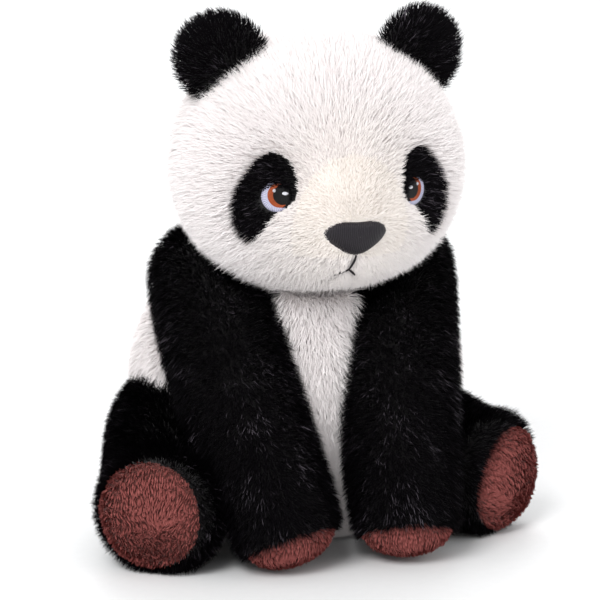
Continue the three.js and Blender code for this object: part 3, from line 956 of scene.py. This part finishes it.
def strand(name: str, points: Sequence[Vector], radius: float, finish: Material,
           body: str, sides: int = 8) -> Object:
    """Lay a round thread along points.

    Args:
        name: The thread's name.
        points: The middle of the thread.
        radius: Its half-thickness.
        finish: Its material.
        body: The body that it rides on.
        sides: How many sides its section has.

    Returns:
        The thread.
    """
    corners: list[Vector] = []
    across: list[float] = []
    last = len(points) - 1
    for i, point in enumerate(points):
        along = (points[min(i + 1, last)] - points[max(i - 1, 0)]).normalized()
        out = along.cross(Vector((0.3, 0.9, 0.2))).normalized()
        over = along.cross(out)
        swell = radius * (0.35 + 0.65 * math.sin(math.pi * min(max(i / last, 0.08), 0.92)) ** 0.35)
        for side in range(sides):
            turn = 2 * math.pi * side / sides
            corners.append(point + (out * math.cos(turn) + over * math.sin(turn)) * swell)
            across.append(side / sides + i * 0.15)
    faces = [
        [i * sides + s, i * sides + (s + 1) % sides, (i + 1) * sides + (s + 1) % sides, (i + 1) * sides + s]
        for i in range(last) for s in range(sides)
    ]
    faces.append(list(range(sides))[::-1])
    faces.append([last * sides + s for s in range(sides)])
    obj = new_mesh(name, np.array([tuple(corner) for corner in corners]), faces)
    return finish_stitch(obj, across, finish, body)


# ---- sub-assemblies


def downwards(points: Array, normals: Array) -> Array:
    """Pile brushed down and a little back."""
    return np.tile([0.0, 0.14, -1.0], (len(points), 1)) + normals * 0.2


def away_from(centre: Vector, fall: float) -> Brush:
    """Pile brushed away from a point.

    Args:
        centre: The point.
        fall: How strongly the pile also turns down, or up where it is negative.

    Returns:
        The brush.
    """
    spot = np.array(centre)

    def brush(points: Array, normals: Array) -> Array:
        """The brushed direction at each point."""
        return unit(points - spot) + np.array([0.0, 0.0, -fall])
    return brush


def swept_back(nose: Vector, middle: Vector) -> Brush:
    """Pile brushed away from the nose on the front of the head, and down on the back of it.

    Args:
        nose: The point that the pile runs away from.
        middle: The middle of the head, about where the way of the pile changes.

    Returns:
        The brush.
    """
    away = away_from(nose, 0.2)
    down = np.array([0.0, 0.0, -1.2])
    start, width = middle.y - 10 * MM, 35 * MM

    def brush(points: Array, normals: Array) -> Array:
        """The brushed direction at each point."""
        behind = np.clip((points[:, 1:2] - start) / width, 0, 1)
        return away(points, normals) * (1 - behind) + down * behind
    return brush


def along_line(start: Vector, end: Vector) -> Brush:
    """Pile brushed from one point towards another.

    Args:
        start: The first point.
        end: The second point.

    Returns:
        The brush.
    """
    way = np.array((end - start).normalized())

    def brush(points: Array, normals: Array) -> Array:
        """The brushed direction at each point."""
        return np.tile(way, (len(points), 1))
    return brush


def node_centre(*nodes: str) -> Vector:
    """The middle of the box around nodes."""
    low = Vector((min(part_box(node)[0][i] for node in nodes) for i in range(3)))
    high = Vector((max(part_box(node)[1][i] for node in nodes) for i in range(3)))
    return (low + high) / 2


@dataclass
class Face:
    """The embroidered eyes, nose and mouth on the head's skin."""

    skin: Skin
    white: float = 13.0 * MM
    iris: float = 11.6 * MM
    pupil: float = 9.4 * MM
    rim: float = 0.7 * MM
    inward: float = 1.7 * MM
    upward: float = 0.9 * MM
    eye_lift: float = 1.6 * MM
    nose_lift: float = 3.4 * MM
    mouth_thread: float = 0.5 * MM
    tree: BVHTree = field(init=False)

    def build(self) -> tuple[Clearing, ...]:
        """Build every stitched feature.

        Returns:
            The spots that the pile keeps off.
        """
        self.tree = search_tree(self.skin.obj)
        spots = [self._eye("right", 1), self._eye("left", -1)]
        charcoal = CHARCOAL_THREAD.material()
        spots.append(self._nose(charcoal))
        spots.extend(self._mouth(charcoal))
        return tuple(spots)

    def _eye(self, side: str, inwards: int) -> Clearing:
        """Stitch one eye: a pale rim, an orange ring, a black middle and two catch lights.

        Args:
            side: Which eye.
            inwards: The direction of the nose along X.

        Returns:
            The bare spot for the eye.
        """
        middle = node_centre(f"eye_white_{side}", f"eye_pupil_{side}")
        hit, normal, _, _ = self.tree.find_nearest(middle)
        normal = Vector((normal.x * 0.8, normal.y, normal.z * 0.5)).normalized()
        white, iris, black, glint = (
            EYE_FINISHES[name].material() for name in ("white", "iris", "black", "glint"))
        near, up = inwards * self.inward, self.upward
        ring, gaze = (near * 0.75, up * 0.6), near * 1.6
        layers = (
            ("white", white, round_outline(self.white, self.white * 1.02), 0.0, True),
            ("rim", black, round_outline(self.iris + self.rim, self.iris + self.rim, ring), 0.15, False),
            ("iris", iris, round_outline(self.iris, self.iris * 1.02, ring), 0.35, True),
            ("pupil", black, round_outline(self.pupil, self.pupil * 1.05, (gaze, up)), 0.7, False),
            ("glint", glint,
             round_outline(1.9 * MM, 2.0 * MM, (gaze - inwards * 2.9 * MM, up + 1.9 * MM)), 0.85, False),
            ("far_glint", glint,
             round_outline(3.6 * MM, 2.0 * MM, (gaze + inwards * 1.9 * MM, up + 1.0 * MM)), 1.0, False),
        )
        slots = {"iris": "iris_thread", "pupil": "black_thread", "rim": "black_thread"}
        nodes = {"rim": "iris", "far_glint": "glint"}
        for part, finish, outline, above, radial in layers:
            slot = slots.get(part, "eye_white_thread")
            pad = Pad(f"stitched_{part}_{side}", outline, self.eye_lift + above * MM, finish, slot, radial)
            obj = pad.build(self.tree, hit, normal, self.skin.body)
            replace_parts(obj, f"eye_{nodes.get(part, part)}_{side}")
        centre = hit + Vector((inwards * 0.4 * MM, 0, -1.5 * MM))
        return Clearing(centre, (6.6 * MM, 9 * MM, 5.4 * MM), 0.9)

    def _nose(self, finish: Material) -> Clearing:
        """Stitch the nose.

        Args:
            finish: The thread's material.

        Returns:
            The bare spot for the nose.
        """
        low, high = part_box("nose")
        half, height = (high.x - low.x) / 2, high.z - low.z
        middle = Vector(((low.x + high.x) / 2, low.y, low.z + height * 0.54))
        hit = self.tree.find_nearest(middle)[0]
        outline = nose_outline(half, height * 0.44, height * 0.56)
        pad = Pad("stitched_nose", outline, self.nose_lift, finish, "charcoal_thread")
        facing = Vector((0, -1, 0.12)).normalized()
        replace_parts(pad.build(self.tree, hit, facing, self.skin.body), "nose")
        return Clearing(hit, (half * 0.86, 14 * MM, height * 0.44), 0.5)

    def _mouth(self, finish: Material) -> list[Clearing]:
        """Lay the mouth's three stitches below the nose.

        Args:
            finish: The thread's material.

        Returns:
            The bare spots along the stitches.
        """
        low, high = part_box("mouth_stitch")
        centre = (low.x + high.x) / 2
        fork = low.z + (high.z - low.z) * 0.42
        routes = {
            "mouth_upright": ((centre, high.z + 1.5 * MM), (centre, fork)),
            "mouth_right": ((centre, fork), (low.x, low.z)),
            "mouth_left": ((centre, fork), (high.x, low.z)),
        }
        spots = []
        for name, (start, end) in routes.items():
            points = []
            for share in np.linspace(0, 1, 9):
                x, z = start[0] + (end[0] - start[0]) * share, start[1] + (end[1] - start[1]) * share
                hit = self.tree.ray_cast(Vector((x, low.y - 0.05, z)), Vector((0, 1, 0)))[0]
                spots.append(Clearing(hit, (1.3 * MM, 4 * MM, 1.3 * MM), 0.9))
                points.append(hit + Vector((0, -1.3 * MM, -0.3 * MM)))
            piece = strand(name, points, self.mouth_thread, finish, self.skin.body)
            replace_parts(piece, "mouth_stitch")
        return spots


HEAD_PANELS: dict[str, Tone] = {
    "head_gusset": Tone.WHITE,
    "head_side_right": Tone.WHITE,
    "head_side_left": Tone.WHITE,
    "head_back": Tone.WHITE,
    "chin_panel": Tone.WHITE,
    "muzzle_bridge": Tone.CREAM,
    "eye_patch_right": Tone.BLACK,
    "eye_patch_left": Tone.BLACK,
}


@dataclass
class Head:
    """The head: white gusset, sides and back, cream bridge, black eye patches and the face."""

    muzzle_short: float = 16 * MM
    full_length: float = 50 * MM
    lap: float = 0.8 * MM
    corner_lap: float = 7 * MM
    lap_fade: float = 8 * MM

    def build(self) -> None:
        """Build the head's skin, its face and its pile."""
        skin = Skin("head_skin", "head", HEAD_PANELS, ("head_stuffing",),
                    voxel=3.2 * MM, smoothing=8, fill=0.9, trim=self._trim)
        skin.build()
        clearings = Face(skin).build()
        nose = node_centre("nose")
        nap = swept_back(nose + Vector((0, 14 * MM, 2 * MM)), node_centre("head_stuffing"))
        groom = Groom(nap, clearings, self._shortness)
        patches = Groom(nap, clearings)
        for panel, tone in HEAD_PANELS.items():
            PILE_OF[tone].grow(skin, panel, patches if tone is Tone.BLACK else groom)

    def _trim(self, points: Array) -> Array:
        """How far the white fabric laps over each panel: most on the inner lower side of the patches.

        Args:
            points: Places on the skin.

        Returns:
            One row for each point and one column for each panel, in the order of the panels.
        """
        laps = np.zeros((len(points), len(HEAD_PANELS)))
        for column, (panel, tone) in enumerate(HEAD_PANELS.items()):
            if tone is Tone.BLACK:
                centre = node_centre(panel)
                inward = (centre.x - points[:, 0]) * math.copysign(1.0, centre.x)
                inner = np.clip(inward / self.lap_fade + 0.5, 0, 1)
                below = np.clip((centre.z - points[:, 2]) / self.lap_fade, 0, 1)
                laps[:, column] = self.lap + self.corner_lap * below * inner
        return laps

    def _shortness(self, roots: Array) -> Array:
        """How short and warm the pile is: fully so round the nose and up the bridge.

        Args:
            roots: The roots of the pile.

        Returns:
            A share for each root.
        """
        nose = np.array(node_centre("nose"))
        offset = (roots - nose) * np.array([1.0, 0.75, 1.0])
        offset[:, 2] -= np.clip(offset[:, 2], -6 * MM, 16 * MM)
        gap = np.linalg.norm(offset, axis=1)
        share = np.clip((self.full_length - gap) / (self.full_length - self.muzzle_short), 0, 1)
        return share * share * (3 - 2 * share)


@dataclass
class Ear:
    """One round black ear."""

    side: str

    def build(self) -> None:
        """Build the ear's skin and pile."""
        panels = {f"ear_lining_{self.side}": Tone.BLACK, f"ear_back_{self.side}": Tone.BLACK}
        skin = Skin(f"ear_skin_{self.side}", f"ear_{self.side}", panels,
                    voxel=1.9 * MM, smoothing=4, fill=0.3, puff=0.6 * MM)
        skin.build()
        centre = node_centre(*panels)
        root = node_centre("head_stuffing")
        groom = Groom(away_from(centre + (root - centre).normalized() * 22 * MM, -0.1))
        for panel in panels:
            EAR_PILE.grow(skin, panel, groom)


@dataclass
class Torso:
    """The torso: black yoke, white belly, back and seat, with a short tail."""

    def build(self) -> None:
        """Build the torso's skin, tail and pile."""
        panels = {
            "belly_panel": Tone.WHITE,
            "torso_back_right": Tone.WHITE,
            "torso_back_left": Tone.WHITE,
            "shoulder_yoke": Tone.BLACK,
            "seat_panel": Tone.WHITE,
        }
        skin = Skin("torso_skin", "torso", panels, ("torso_stuffing", "bean_pouch"),
                    voxel=3.6 * MM, smoothing=6, fill=0.8)
        skin.build()
        groom = Groom(downwards)
        for panel, tone in panels.items():
            PILE_OF[tone].grow(skin, panel, groom)
        tail = Skin("tail_skin", "torso", {"tail_cover": Tone.WHITE}, ("tail_stuffing",),
                    voxel=2.2 * MM, smoothing=6, fill=0.8)
        tail.build()
        PILE_OF[Tone.WHITE].grow(tail, "tail_cover", groom)


@dataclass
class Limb:
    """An arm or a leg: two black panels and a brown pad or sole at its end."""

    kind: str
    side: str
    pad: str
    fill: float

    def build(self) -> None:
        """Build the limb's skin and pile, brushed from the inner side of its top towards its pad."""
        end = f"{self.pad}_{self.side}"
        panels = {
            f"{self.kind}_outer_{self.side}": Tone.BLACK,
            f"{self.kind}_inner_{self.side}": Tone.BLACK,
            end: Tone.BROWN,
        }
        filling = f"{self.kind}_stuffing_{self.side}"
        name = f"{self.kind}_{self.side}"
        skin = Skin(f"{self.kind}_skin_{self.side}", name, panels, (filling,),
                    voxel=3.2 * MM, smoothing=6, fill=self.fill)
        skin.build()
        low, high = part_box(filling)
        inner = low.x * 0.3 + high.x * 0.7 if self.side == "right" else low.x * 0.7 + high.x * 0.3
        top = Vector((inner, high.y, high.z * 0.9 if self.kind == "arm" else (low.z + high.z) / 2))
        groom = Groom(along_line(top, node_centre(end)))
        for panel, tone in panels.items():
            PILE_OF[tone].grow(skin, panel, groom)


LOOSE = {"detail": 5.0, "smoothest": 0.9, "roughness_spread": 0.08, "relief": 1.5 * MM, "sheen": 0.0}
FILLINGS = (
    FibreFinish("polyester_fibre", (0.88, 0.88, 0.86, 1), (0.66, 0.66, 0.65, 1), 3 * MM, **LOOSE),
    FibreFinish("pouch_cotton", (0.70, 0.65, 0.55, 1), (0.52, 0.47, 0.39, 1), 0.8 * MM, **LOOSE),
    FibreFinish("seam_thread", (0.82, 0.78, 0.72, 1), (0.60, 0.56, 0.52, 1), 0.5 * MM, **LOOSE),
)


@dataclass
class Filling:
    """The hidden filling and the closing stitch, which keep their own solids."""

    def dress(self) -> None:
        """Give the filling, the pouch and the stitch their finishes."""
        fibre, cotton, thread = (finish.material() for finish in FILLINGS)
        for name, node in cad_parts.items():
            if node.hide_render:
                continue
            finish = thread if name == "closing_stitch" else cotton if name == "bean_pouch" else fibre
            node.data.materials.clear()
            node.data.materials.append(finish)


# ---- studio


@dataclass
class Studio:
    """Pale floor, soft lights and the camera."""

    azimuth: float = -16.5
    elevation: float = 12.0
    distance: float = 1.2
    lens: float = 158.0
    target_right: float = 0.6 * MM
    target_up: float = 102.0 * MM
    target_near: float = 15.0 * MM
    sky: float = 0.70

    def build(self) -> None:
        """Set the floor, the lights and the camera."""
        self._camera()
        self._floor()
        self._lights()
        bpy.context.scene.view_settings.view_transform = "Standard"
        bpy.context.scene.view_settings.look = "None"

    def _camera(self) -> None:
        """Stand the camera in front and to the panda's right."""
        turn, tilt = math.radians(self.azimuth), math.radians(self.elevation)
        towards = Vector((math.sin(turn) * math.cos(tilt), -math.cos(turn) * math.cos(tilt), math.sin(tilt)))
        right = Vector((math.cos(turn), math.sin(turn), 0))
        up = towards.cross(right)
        target = right * self.target_right + up * self.target_up + towards * self.target_near
        data = bpy.data.cameras.new("camera")
        data.lens = self.lens
        data.sensor_width = 36.0
        camera = bpy.data.objects.new("camera", data)
        axes = Matrix((right, up, towards)).transposed()
        camera.matrix_world = Matrix.Translation(target + towards * self.distance) @ axes.to_4x4()
        bpy.context.scene.collection.objects.link(camera)
        bpy.context.scene.camera = camera

    def _floor(self) -> None:
        """Lay a pale floor that curves up far behind."""
        half, bend, rise, steps, below = 3.0, 1.4, 2.5, 24, 0.2 * MM
        turns = [step * math.pi / 2 / steps for step in range(1, steps + 1)]
        profile = [(-half, 0.0), (bend, 0.0)]
        profile += [(bend + math.sin(turn), 1 - math.cos(turn)) for turn in turns]
        profile.append((bend + 1, rise))
        points = [(x, y, z - below) for y, z in profile for x in (-half, half)]
        faces = [[2 * i, 2 * i + 1, 2 * i + 3, 2 * i + 2] for i in range(len(profile) - 1)]
        floor = new_mesh("studio_floor", np.array(points), faces)
        graph = Graph("studio_floor")
        speckle = graph.noise(4 * MM, 2.0)
        graph.colour(graph.blend(speckle, (0.83, 0.835, 0.84, 1), (0.87, 0.875, 0.88, 1)))
        graph.constant(Roughness=0.6)
        floor.data.materials.append(graph.material)

    def _lights(self) -> None:
        """Hang a large soft key, a fill and a rim light under a white sky."""
        world = bpy.data.worlds.new("sky")
        bpy.context.scene.world = world
        world.use_nodes = True
        sky = world.node_tree.nodes["Background"]
        sky.inputs["Color"].default_value = (1, 1, 1, 1)
        sky.inputs["Strength"].default_value = self.sky
        self._lamp("key", (-0.75, -0.95, 1.15), 0.7, 17.5)
        self._lamp("fill", (1.1, -0.8, 0.6), 0.9, 4.0)
        self._lamp("rim", (0.3, 0.9, 1.2), 0.9, 7.0)
        self._lamp("wall_wash", (0.0, 1.2, 1.6), 1.2, 18.0, (0.0, 2.4, 0.8))

    @staticmethod
    def _lamp(name: str, place: tuple[float, float, float], size: float, power: float,
              aim: tuple[float, float, float] = (0.0, 0.0, 0.12)) -> None:
        """Hang one square lamp.

        Args:
            name: The lamp's name.
            place: Where it hangs.
            size: The length of its side.
            power: Its power in watts.
            aim: The point that it looks at.
        """
        data = bpy.data.lights.new(name, "AREA")
        data.size = size
        data.energy = power
        lamp = bpy.data.objects.new(name, data)
        lamp.location = place
        way = Vector(aim) - Vector(place)
        lamp.rotation_euler = way.to_track_quat("-Z", "Y").to_euler()
        bpy.context.scene.collection.objects.link(lamp)


def main() -> None:
    """Build the panda and its studio in order."""
    logging.basicConfig(level=logging.INFO, format="%(name)s %(message)s")
    for tone in Tone:
        GROUND_MATERIALS[tone] = GROUNDS[tone].material()
        PILE_MATERIALS[tone] = PILES[tone].material()
    Studio().build()
    Head().build()
    Torso().build()
    for side in ("right", "left"):
        Ear(side).build()
        Limb("arm", side, "paw_pad", 0.8).build()
        Limb("leg", side, "foot_sole", 0.85).build()
    Filling().dress()


if __name__ == "__main__":
    main()
